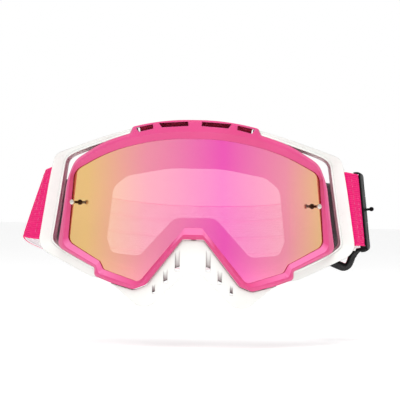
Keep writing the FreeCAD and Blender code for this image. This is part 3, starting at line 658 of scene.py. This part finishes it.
def sewn_end(side):
    """The strap's way round its rod, from the sewn end inside to where the main run starts."""
    middle, outward, rearward, upward = rod_axes(side)
    run = strap_middle()
    second = run[0] if side < 0 else run[-1]
    target = (second[:3] + second[3:]) / 2 - middle
    wrap = ROD_R + 0.2 + STRAP_T / 2
    lean = math.atan2(target @ outward - wrap, target @ rearward)
    radial = outward * math.cos(lean) - rearward * math.sin(lean)
    half = upward * STRAP_W / 2
    start = np.concatenate([middle + radial * wrap + half, middle + radial * wrap - half])
    reach = np.linalg.norm(target - radial * wrap)
    inwards = np.tile(-radial * (STRAP_T + 0.15), 2)
    rows = [start + (second - start) * d / reach + inwards for d in (15.5, 13.0, 10.5, 8.0)]
    for angle in np.linspace(math.radians(138.0), 2 * math.pi - lean, 9):
        centre = middle + wrap * (outward * math.cos(angle) + rearward * math.sin(angle))
        rows.append(np.concatenate([centre + half, centre - half]))
    return rows + [start + (second - start) * d / reach for d in (4.0, 8.0)]


def band_axes(line):
    """Middle, half-width and outward vectors at each row of a band's edge points."""
    top, bottom = line[:, :3], line[:, 3:]
    middle = (top + bottom) / 2
    along = np.gradient(middle, axis=0)
    along /= np.linalg.norm(along, axis=1)[:, None]
    up = top - bottom
    outward = np.cross(up, along)
    outward /= np.linalg.norm(outward, axis=1)[:, None]
    return middle, up / 2, outward, along


def slack(point):
    """0 where the slider runs along the strap and holds it flat, rising to 1 beyond it."""
    if point[0] < 0 or point[2] < BELOW_STRAP:
        return 1.0
    return min(1.0, max(0.0, (point[1] - SLIDER_RUN[1]) / SLACK_EASE[1],
                        (SLIDER_RUN[0] - point[1]) / SLACK_EASE[0]))


def sway(i, wave):
    """Ripple of a band's middle and curl of its edges at row i."""
    return (wave * noise.noise(Vector((i * 0.045, 3.7, 0.0))),
            wave * noise.noise(Vector((i * 0.06, 9.1, 2.0))))


def band(name, line, thickness, hem, crown, wave, face_material, back_material, body, free_rows):
    """A woven band with rounded, hemmed edges. Its UVs are metres along and across."""
    middle, half, outward, _ = band_axes(line)
    width = 2 * np.linalg.norm(half[0])
    inset = 2 * hem / width
    across = sorted({s * v for s in (-1, 1) for v in (0.0, 0.2, 0.4, 0.6, 0.8, 1 - 1.6 * inset,
                                                      1 - 1.2 * inset, 1 - inset, 1 - 0.8 * inset,
                                                      1 - 0.4 * inset, 1 - 0.15 * inset)})
    rings, n = [], len(line)
    for i in range(n):
        ease = min(1.0, max(0.0, min(i, n - 1 - i) / free_rows - 0.5)) * slack(middle[i])
        ripple, curl = sway(i, wave * ease)
        face, back = [], []
        for v in across:
            groove = 0.30 * math.exp(-((abs(v) - (1 - inset)) / (0.22 * inset)) ** 2)
            edge = min(1.0, (1 - abs(v)) / (0.6 * inset))
            t = thickness / 2 * (1 - groove) * math.sqrt(1 - (1 - edge) ** 2 * 0.75)
            centre = middle[i] + half[i] * v + outward[i] * (ripple + curl * v + crown * ease * (1 - v * v))
            face.append(centre + outward[i] * t)
            back.append(centre - outward[i] * t)
        low = middle[i] - half[i] + outward[i] * (ripple - curl)
        high = middle[i] + half[i] + outward[i] * (ripple + curl)
        rings.append(face + [high] + back[::-1] + [low])
    points, faces = skin_rings(rings)
    obj = new_piece(name, points, faces, [face_material, back_material], body, sharp=60.0)
    m, count = len(across), len(rings[0])
    mesh = obj.data
    layer = mesh.uv_layers.new(name="weave")
    run = np.concatenate([[0.0], np.cumsum(np.linalg.norm(np.diff(middle, axis=0), axis=1))])
    place = [v for v in across] + [1.0] + [v for v in across[::-1]] + [-1.0]
    for polygon in mesh.polygons:
        columns = {mesh.loops[k].vertex_index % count for k in polygon.loop_indices}
        if len(polygon.vertices) == 4 and min(columns) >= m + 1 and max(columns) <= 2 * m:
            polygon.material_index = 1
        for k in polygon.loop_indices:
            v = mesh.loops[k].vertex_index
            layer.data[k].uv = (run[v // count] * MM, place[v % count] * width / 2 * MM)
    return obj


def stitch_row(centre, outward, direction, half_length, pitch, radius):
    """Thread knots in a row: short rounded rods that sink into the cloth at their ends."""
    points, faces = [], []
    count = int(2 * half_length / pitch)
    side = np.cross(outward, direction)
    for k in range(count):
        middle = centre + direction * ((k + 0.5) / count * 2 - 1) * half_length
        base = len(points)
        rings = []
        for t in (-1.0, -0.8, -0.4, 0.0, 0.4, 0.8, 1.0):
            r = radius * math.sqrt(max(0.06, 1 - t * t))
            lift = radius * 0.5 * (1 - t * t)
            rings.append([middle + direction * t * pitch * 0.37 + outward * (lift + r * math.sin(a))
                          + side * r * math.cos(a) for a in np.linspace(0, 2 * math.pi, 8, endpoint=False)])
        p, f = skin_rings(rings)
        points += p
        faces += [tuple(base + q for q in face) for face in f]
    return points, faces


def make_strap(mats):
    left, right = sewn_end(-1), sewn_end(1)
    line = spline(left + strap_middle() + right[::-1], 1.6)
    strap = band("strap_webbing", line, STRAP_T, 1.7, STRAP_CROWN, STRAP_WAVE, mats["webbing_pink"],
                 mats["webbing_lining"], "goggles", 45)
    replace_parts(strap, "strap")
    length = float(np.linalg.norm(np.diff((line[:, :3] + line[:, 3:]) / 2, axis=0), axis=1).sum())
    stitches = []
    for side, name in ((-1, "left"), (1, "right")):
        end = np.array(sewn_end(side))
        middle, half, outward, along = band_axes(end)
        up = half[-1] / np.linalg.norm(half[-1])
        out = outward[-1] * (1 if outward[-1][0] * side > 0 else -1)
        rearward = along[-1]
        points, faces = [], []
        for shift in (-2.0, 7.0, 8.6):
            p, f = stitch_row(middle[-1] + rearward * shift + out * (STRAP_T / 2), out, up,
                              STRAP_W / 2 - 3.0, 3.0, 0.24)
            faces += [tuple(len(points) + q for q in face) for face in f]
            points += p
        row = new_piece("strap_stitches_" + name, points, faces, [mats["thread"]], "goggles")
        stitches.append(row)
    grips = make_grips(mats, line)
    return strap, stitches, grips, length


def make_grips(mats, line):
    """Three silicone beads along the inside of the strap's rear half."""
    middle, half, outward, along = band_axes(line)
    n = len(line)
    first, last = int(n * 0.27), int(n * 0.735)
    points, faces = [], []
    for height in GRIP_HEIGHTS:
        rings = []
        for i in range(first, last):
            v = height / (STRAP_W / 2)
            ripple, curl = sway(i, STRAP_WAVE)
            up = half[i] / np.linalg.norm(half[i])
            base = middle[i] + half[i] * v + outward[i] * (ripple + curl * v + STRAP_CROWN * (1 - v * v)
                                                           - STRAP_T / 2)
            end = min(1.0, min(i - first, last - 1 - i) / 2.0)
            r = 0.75 * (0.35 + 0.65 * end)
            rings.append([base + up * r * math.cos(a) - outward[i] * (0.62 * r * math.sin(a))
                          for a in np.linspace(0, 2 * math.pi, 10, endpoint=False)])
        p, f = skin_rings(rings)
        faces += [tuple(len(points) + q for q in face) for face in f]
        points += p
    grips = new_piece("strap_grips", points, faces, [mats["silicone_grip"]], "goggles")
    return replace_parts(grips, "strap_grip_lines")


def make_tail(mats):
    """Free end of the strap, folded under the buckle."""
    path = spline([(x, z) for x, z in TAIL_PATH], 0.8)
    along = np.gradient(path, axis=0)
    along /= np.linalg.norm(along, axis=1)[:, None]
    rows = []
    for i, ((x, z), (dx, dz)) in enumerate(zip(path, along)):
        splay = TAIL_SPLAY * min(1.0, i / (len(path) * 0.2))
        rows.append([x + dz * splay, TAIL_Y, z - dx * splay, x - dz * splay, TAIL_Y + TAIL_W, z + dx * splay])
    rows = np.array(rows)
    tail = band("strap_tail_webbing", rows, 1.7, 1.1, 0.0, 0.25, mats["webbing_black"],
                mats["webbing_pink"], "buckle", 8)
    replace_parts(tail, "strap_tail")
    length = float(np.linalg.norm(np.diff(path, axis=0), axis=1).sum())
    return tail, length


# ---- buckle ----------------------------------------------------------------------------------------
def make_buckle(mats):
    """The slider with its outer corners rounded off, seen along the strap."""
    shell = welded_copy("slider_buckle", "buckle_shell")
    turn = Matrix.Rotation(-math.radians(BUCKLE_HEADING), 4, "Z") @ Matrix.Rotation(
        -math.radians(BUCKLE_LEAN), 4, "Y")
    place = Matrix.Translation(Vector(BUCKLE_MIDDLE)) @ turn
    for end in (1, -1):
        cx, cz = BUCKLE_CREST - BUCKLE_ROUND, BUCKLE_ENDS[0 if end > 0 else 1] - end * BUCKLE_ROUND
        outline = [(cx + BUCKLE_ROUND * math.sin(a), cz + end * BUCKLE_ROUND * math.cos(a))
                   for a in np.linspace(0, math.pi / 2, 9)]
        outline += [(cx + BUCKLE_ROUND + 2, cz), (cx + BUCKLE_ROUND + 2, cz + end * (BUCKLE_ROUND + 2)),
                    (cx, cz + end * (BUCKLE_ROUND + 2))]
        cutter = loop_prism(outline, -20.0, 20.0)
        for v in cutter.data.vertices:
            v.co = (place @ (v.co / MM)) * MM
        carve(shell, cutter)
    shell.data.materials.clear()
    shell.data.materials.append(mats["buckle_black"])
    shell.data.shade_smooth()
    shell.data.set_sharp_from_angle(angle=math.radians(28))
    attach(shell, "buckle")
    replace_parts(shell, "slider_buckle")
    return shell


# ---- foams -----------------------------------------------------------------------------------------
def soft_copy(node, name, voxel, shrink):
    """A closed, evenly meshed copy of a CAD foam, a little smaller than it."""
    source = NODES[node]
    obj = bpy.data.objects.new(name, source.data.copy())
    bpy.context.scene.collection.objects.link(obj)
    bm = bmesh.new()
    bm.from_mesh(obj.data)
    bmesh.ops.remove_doubles(bm, verts=bm.verts, dist=2e-6)
    bm.to_mesh(obj.data)
    bm.free()
    obj.data.materials.clear()
    remesh = obj.modifiers.new("Remesh", "REMESH")
    remesh.mode = "VOXEL"
    remesh.voxel_size = voxel * MM
    relax = obj.modifiers.new("Relax", "SMOOTH")
    relax.factor = 0.5
    relax.iterations = 2
    pull = obj.modifiers.new("Pull in", "DISPLACE")
    pull.strength = -shrink * MM
    pull.mid_level = 0.0
    bake_modifiers(obj)
    return obj


def bake_modifiers(obj):
    bpy.context.view_layer.update()
    graph = bpy.context.evaluated_depsgraph_get()
    mesh = bpy.data.meshes.new_from_object(obj.evaluated_get(graph))
    obj.modifiers.clear()
    old = obj.data
    obj.data = mesh
    bpy.data.meshes.remove(old)


def inflate(obj, pressure, cap, frames=16):
    """Swell by cloth simulation, each point by cap millimetres at most."""
    rest = np.array([v.co for v in obj.data.vertices])
    cloth = obj.modifiers.new("Cloth", "CLOTH")
    s = cloth.settings
    s.use_pressure = True
    s.uniform_pressure_force = pressure
    s.quality = 5
    s.mass = 0.15
    s.tension_stiffness = s.compression_stiffness = 12
    s.bending_stiffness = 1.5
    s.effector_weights.gravity = 0.0
    cloth.collision_settings.use_collision = False
    cloth.point_cache.frame_start, cloth.point_cache.frame_end = 1, frames
    scene = bpy.context.scene
    for k in range(1, frames + 1):
        scene.frame_set(k)
    bake_modifiers(obj)
    scene.frame_set(1)
    co = np.array([v.co for v in obj.data.vertices])
    move = co - rest
    far = np.linalg.norm(move, axis=1)[:, None]
    co = rest + move * np.minimum(1.0, cap * MM / np.maximum(far, 1e-9))
    obj.data.vertices.foreach_set("co", co.astype(np.float32).ravel())
    obj.data.update()


def make_foam(node, name, material, voxel, shrink, pressure, cap, pores=0.0):
    foam = soft_copy(node, name, voxel, shrink)
    if pressure:
        inflate(foam, pressure, cap)
    fine = foam.modifiers.new("Fine", "SUBSURF")
    fine.levels = fine.render_levels = 1
    bake_modifiers(foam)
    if pores:
        mesh = foam.data
        bm = bmesh.new()
        bm.from_mesh(mesh)
        bm.normal_update()
        for v in bm.verts:
            v.co += v.normal * pores * MM * (noise.noise(v.co * 1300.0) + 0.5 * noise.noise(v.co * 300.0))
        bm.to_mesh(mesh)
        bm.free()
    foam.data.materials.append(material)
    foam.data.shade_smooth()
    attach(foam, "goggles")
    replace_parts(foam, node)
    return foam


# ---- tear-off posts --------------------------------------------------------------------------------
def make_post(side, name, materials):
    """A turned pin: flange on the lens, waisted shank and a round head."""
    profile = [(0.0, -1.7), (0.72, -1.7), (0.78, -1.6), (0.78, 0.05), (1.25, 0.06), (1.42, 0.14),
               (1.48, 0.32), (1.42, 0.55), (1.2, 0.7), (0.86, 0.82), (0.78, 1.1), (0.74, 2.2),
               (0.74, 3.4), (0.8, 4.5), (0.95, 4.85), (1.25, 5.05), (1.46, 5.4), (1.5, 5.75),
               (1.44, 6.1), (1.24, 6.38), (0.9, 6.54), (0.45, 6.6), (0.0, 6.6)]
    angle = math.asin(POST_X / LENS_R)
    direction = np.array([side * math.sin(angle), -math.cos(angle), 0.0])
    foot = np.array([0.0, AXIS_Y, POST_Z]) + direction * LENS_R
    u, v = np.array([0.0, 0.0, 1.0]), np.cross(direction, [0.0, 0.0, 1.0])
    rings = [[foot + direction * h + (u * math.cos(a) + v * math.sin(a)) * max(r, 0.01)
              for a in np.linspace(0, 2 * math.pi, 28, endpoint=False)] for r, h in profile]
    points, faces = skin_rings(rings)
    post = new_piece(name, points, faces, materials, "goggles", sharp=50.0)
    for polygon in post.data.polygons:
        if max(profile[k // 28][1] for k in polygon.vertices) < SHANK_END:
            polygon.material_index = 1
    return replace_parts(post, name.replace("turned_", ""))


# ---- stage -----------------------------------------------------------------------------------------
def make_camera():
    """900 mm in front of the lens, a little to the viewer's right, level."""
    pivot, distance, yaw, roll = Vector((0, -0.044, 0)), 0.9, math.radians(2.4), math.radians(-1.07)
    metres_per_pixel, side = 0.535 * MM, 400
    place = pivot + distance * Vector((math.sin(yaw), -math.cos(yaw), 0))
    data = bpy.data.cameras.new("camera")
    camera = bpy.data.objects.new("camera", data)
    bpy.context.scene.collection.objects.link(camera)
    aim = (pivot - place).to_track_quat("-Z", "Y").to_matrix().to_4x4()
    camera.matrix_world = Matrix.Translation(place) @ aim @ Matrix.Rotation(-roll, 4, "Z")
    data.sensor_width = 36.0
    data.lens = 36.0 * distance / metres_per_pixel / side
    data.shift_x = (200 - 193.7) / side
    data.shift_y = (207 - 200) / side
    data.clip_start, data.clip_end = 0.05, 20.0
    bpy.context.scene.camera = camera


def make_stage():
    lo, hi = CAD_BOX
    mesh = bpy.data.meshes.new("floor")
    s, z = 6.0, lo.z - FLOOR_DROP
    mesh.from_pydata([(-s, -s, z), (s, -s, z), (s, s, z), (-s, s, z)], [], [(0, 1, 2, 3)])
    floor = bpy.data.objects.new("floor", mesh)
    bpy.context.scene.collection.objects.link(floor)
    g = Graph("floor", roughness=0.9)
    tone = g.mix(g.noise(3.0), linear(222, 222, 222), linear(226, 226, 226))
    g.shader.inputs["Emission Color"].default_value = (1.0, 1.0, 1.0, 1.0)
    g.shader.inputs["Emission Strength"].default_value = FLOOR_GLOW
    mesh.materials.append(g.finish(tone))


def make_lights():
    """A white light tent: bright to look at and to mirror, softer as light, with three lamps for shape."""
    world = bpy.data.worlds.new("studio")
    bpy.context.scene.world = world
    world.use_nodes = True
    tree = world.node_tree
    ray = tree.nodes.new("ShaderNodeLightPath")
    seen = tree.nodes.new("ShaderNodeMath")
    seen.operation = "MAXIMUM"
    tree.links.new(ray.outputs["Is Camera Ray"], seen.inputs[0])
    tree.links.new(ray.outputs["Is Glossy Ray"], seen.inputs[1])
    strength = tree.nodes.new("ShaderNodeMapRange")
    strength.inputs["To Min"].default_value = TENT_LIGHT
    strength.inputs["To Max"].default_value = TENT_SEEN
    tree.links.new(seen.outputs[0], strength.inputs["Value"])
    tree.links.new(strength.outputs[0], tree.nodes["Background"].inputs["Strength"])
    tree.nodes["Background"].inputs["Color"].default_value = (1.0, 1.0, 1.0, 1.0)
    for name, place, size, power in LAMPS:
        data = bpy.data.lights.new(name, "AREA")
        data.size = size
        data.energy = power
        lamp = bpy.data.objects.new(name, data)
        lamp.location = place
        lamp.visible_glossy = False
        lamp.rotation_euler = (-Vector(place)).to_track_quat("-Z", "Y").to_euler()
        bpy.context.scene.collection.objects.link(lamp)
    bpy.context.scene.view_settings.view_transform = "Standard"


# ---- put together ----------------------------------------------------------------------------------
def paint(mats):
    """Give each CAD node its material."""
    finish = {"nose_guard": "plastic_white",
              "post_retainer_left": "retainer_clear", "post_retainer_right": "retainer_clear",
              "buckle_gate": "buckle_black", "buckle_pin": "pin_steel"}
    for node, slot in finish.items():
        obj = NODES[node]
        obj.data.materials.clear()
        obj.data.materials.append(mats[slot])


def main():
    make_camera()
    mats = make_materials()
    paint(mats)
    make_frame(mats)
    make_lens(mats)
    for side, word in ((-1, "left"), (1, "right")):
        make_outrigger(side, "outrigger_" + word, mats)
    make_strap(mats)
    make_tail(mats)
    make_buckle(mats)
    make_foam("foam_base", "foam_base_pad", mats["foam_dark"], 2.4, 0.5, 3.0, 0.9, 0.12)
    make_foam("foam_middle", "foam_middle_pad", mats["foam_dark"], 1.8, 0.5, 3.0, 0.9, 0.12)
    make_foam("foam_fleece", "foam_fleece_pad", mats["fleece_dark"], 1.1, 0.3, 3.0, 0.7, 0.12)
    make_foam("vent_foam_top", "vent_foam_top_pad", mats["foam_vent"], 0.6, 0.05, 0.0, 0.0, 0.1)
    for side in ("left", "right"):
        make_foam("vent_foam_lower_" + side, "vent_foam_lower_%s_pad" % side, mats["foam_vent"],
                  0.6, 0.05, 0.0, 0.0, 0.1)
    for side, word in ((-1, "left"), (1, "right")):
        make_post(side, "turned_tear_off_post_" + word, [mats["post_metal"], mats["post_shank"]])
    make_stage()
    make_lights()


main()
